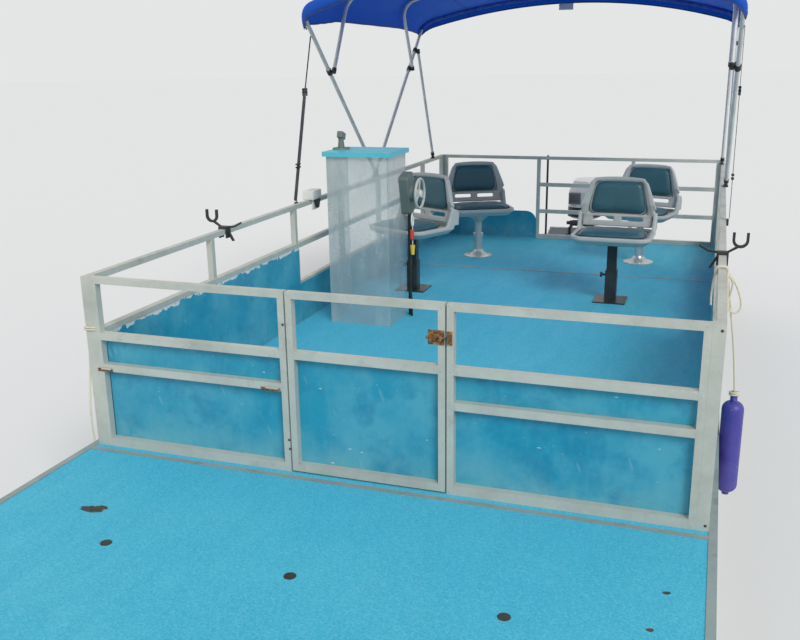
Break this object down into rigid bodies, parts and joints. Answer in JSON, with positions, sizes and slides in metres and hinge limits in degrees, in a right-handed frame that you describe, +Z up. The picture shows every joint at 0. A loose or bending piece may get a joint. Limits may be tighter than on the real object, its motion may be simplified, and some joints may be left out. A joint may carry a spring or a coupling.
{
  "type": "pontoon boat",
  "caption": "Pontoon boat with a fenced deck, swinging bow gate, canvas top on bent bows, swivel seats with folding backs, a clear console and a tilting outboard.",
  "frame": {"origin": "on the centreline, midway along the length, at the level of the keel strips' lower faces", "axes": "+Y aft, bow towards -Y; +X port; +Z up"},
  "size_m": [2.5568, 7.14, 2.8293],
  "materials": {
    "tube_aluminium": "satin",
    "rail_aluminium": "worn satin",
    "deck_ply": "raw",
    "deck_coating": "speckled matte",
    "deck_trim": "worn satin",
    "plug_rubber": "matte",
    "blue_sheet": "worn paint",
    "dark_sheet": "worn paint",
    "latch_brass": "rusty",
    "bow_tube": "polished",
    "black_nylon": "matte",
    "black_webbing": "woven",
    "blue_canvas": "woven",
    "acrylic": "scuffed",
    "console_paint": "satin",
    "control_plastic": "matte",
    "wheel_plastic": "satin",
    "seat_shell": "satin",
    "seat_vinyl": "satin",
    "black_paint": "satin",
    "spun_aluminium": "brushed",
    "motor_paint": "gloss",
    "motor_black": "satin",
    "engine_iron": "cast",
    "prop_aluminium": "painted",
    "fender_vinyl": "satin",
    "cream_rope": "woven",
    "cable_rubber": "matte"
  },
  "bodies": {
    "boat": {"bimini_fittings": "black_nylon", "bimini_inner_bows": "bow_tube", "bimini_main_bows": "bow_tube", "bimini_straps": "black_webbing", "canopy": "blue_canvas", "console_board": "console_paint", "console_panels": "acrylic", "control_box": "control_plastic", "cross_channels": "tube_aluminium", "deck_board": "deck_ply", "deck_cover": "deck_coating", "deck_plugs": "plug_rubber", "deck_strips": "deck_trim", "deck_trim": "deck_trim", "electronics_mount": "control_plastic", "fence_sheets": "blue_sheet", "fender": "fender_vinyl", "fender_line": "cream_rope", "front_frames": "rail_aluminium", "helm_cables": "cable_rubber", "latch_keeper": "latch_brass", "line_loop": "cream_rope", "low_sheets": "dark_sheet", "motor_clamp": "motor_black", "pontoon_port": "tube_aluminium", "pontoon_starboard": "tube_aluminium", "rod_holders": "black_nylon", "round_pedestals": "spun_aluminium", "side_frame_port": "rail_aluminium", "side_frame_starboard": "rail_aluminium", "square_pedestals": "black_paint", "stern_frame": "rail_aluminium", "stern_pole": "black_paint", "transom_pod": "tube_aluminium", "tube_risers": "tube_aluminium"},
    "gate": {"gate_frame": "rail_aluminium", "gate_sheet": "blue_sheet", "gate_latch": "latch_brass"},
    "motor_tilt_body": {"motor_swivel": "motor_black"},
    "motor_body": {"motor_leg": "motor_paint", "motor_cowl": "motor_paint", "powerhead": "engine_iron"},
    "propeller_body": {"propeller": "prop_aluminium"},
    "hand_wheel_body": {"hand_wheel": "wheel_plastic"},
    "helm_seat": {"helm_pan": "seat_shell", "helm_pan_pad": "seat_vinyl"},
    "helm_backrest": {"helm_back": "seat_shell", "helm_back_pad": "seat_vinyl"},
    "front_port_seat": {"front_port_pan": "seat_shell", "front_port_pan_pad": "seat_vinyl"},
    "front_port_backrest": {"front_port_back": "seat_shell", "front_port_back_pad": "seat_vinyl"},
    "rear_starboard_seat": {"rear_starboard_pan": "seat_shell", "rear_starboard_pan_pad": "seat_vinyl"},
    "rear_starboard_backrest": {"rear_starboard_back": "seat_shell", "rear_starboard_back_pad": "seat_vinyl"},
    "rear_port_seat": {"rear_port_pan": "seat_shell", "rear_port_pan_pad": "seat_vinyl"},
    "rear_port_backrest": {"rear_port_back": "seat_shell", "rear_port_back_pad": "seat_vinyl"}
  },
  "joints": [
    {"name": "gate_swing", "type": "hinge", "parent": "boat", "child": "gate", "pos_m": [-0.31, -2.2625, 1.1], "axis": [0, 0, 1], "range_deg": [0, 110]},
    {"name": "motor_tilt", "type": "hinge", "parent": "boat", "child": "motor_tilt_body", "pos_m": [0, 3.12, 0.8], "axis": [1, 0, 0], "range_deg": [0, 65]},
    {"name": "motor_steer", "type": "hinge", "parent": "motor_tilt_body", "child": "motor_body", "pos_m": [0, 3.195, 0.7], "axis": [0, 0, 1], "range_deg": [-35, 35]},
    {"name": "propeller_spin", "type": "hinge", "parent": "motor_body", "child": "propeller_body", "pos_m": [0, 3.436, 0.132], "axis": [0, 1, 0], "continuous": true},
    {"name": "hand_wheel_turn", "type": "hinge", "parent": "boat", "child": "hand_wheel_body", "pos_m": [-0.5068, -0.11, 1.495], "axis": [1, 0, 0], "range_deg": [-630, 630]},
    {"name": "helm_swivel", "type": "hinge", "parent": "boat", "child": "helm_seat", "pos_m": [-0.77, 0.55, 1.135], "axis": [0, 0, 1], "continuous": true},
    {"name": "helm_fold", "type": "hinge", "parent": "helm_seat", "child": "helm_backrest", "pos_m": [-0.70424, 0.68482, 1.257], "axis": [0.8988, -0.4384, 0], "range_deg": [0, 96]},
    {"name": "front_port_swivel", "type": "hinge", "parent": "boat", "child": "front_port_seat", "pos_m": [0.537, 0.602, 1.135], "axis": [0, 0, 1], "continuous": true},
    {"name": "front_port_fold", "type": "hinge", "parent": "front_port_seat", "child": "front_port_backrest", "pos_m": [0.54223, 0.75191, 1.257], "axis": [0.9994, -0.0349, 0], "range_deg": [0, 96]},
    {"name": "rear_starboard_swivel", "type": "hinge", "parent": "boat", "child": "rear_starboard_seat", "pos_m": [-0.622, 1.734, 1.09], "axis": [0, 0, 1], "continuous": true},
    {"name": "rear_starboard_fold", "type": "hinge", "parent": "rear_starboard_seat", "child": "rear_starboard_backrest", "pos_m": [-0.69242, 1.86644, 1.212], "axis": [0.8829, 0.4695, 0], "range_deg": [0, 96]},
    {"name": "rear_port_swivel", "type": "hinge", "parent": "boat", "child": "rear_port_seat", "pos_m": [0.609, 1.806, 1.09], "axis": [0, 0, 1], "continuous": true},
    {"name": "rear_port_fold", "type": "hinge", "parent": "rear_port_seat", "child": "rear_port_backrest", "pos_m": [0.64529, 1.95154, 1.212], "axis": [0.9703, -0.2419, 0], "range_deg": [0, 96]}
  ],
  "couplings": [
    {"joint": "hand_wheel_turn", "follows": "motor_steer", "ratio": 18}
  ]
}
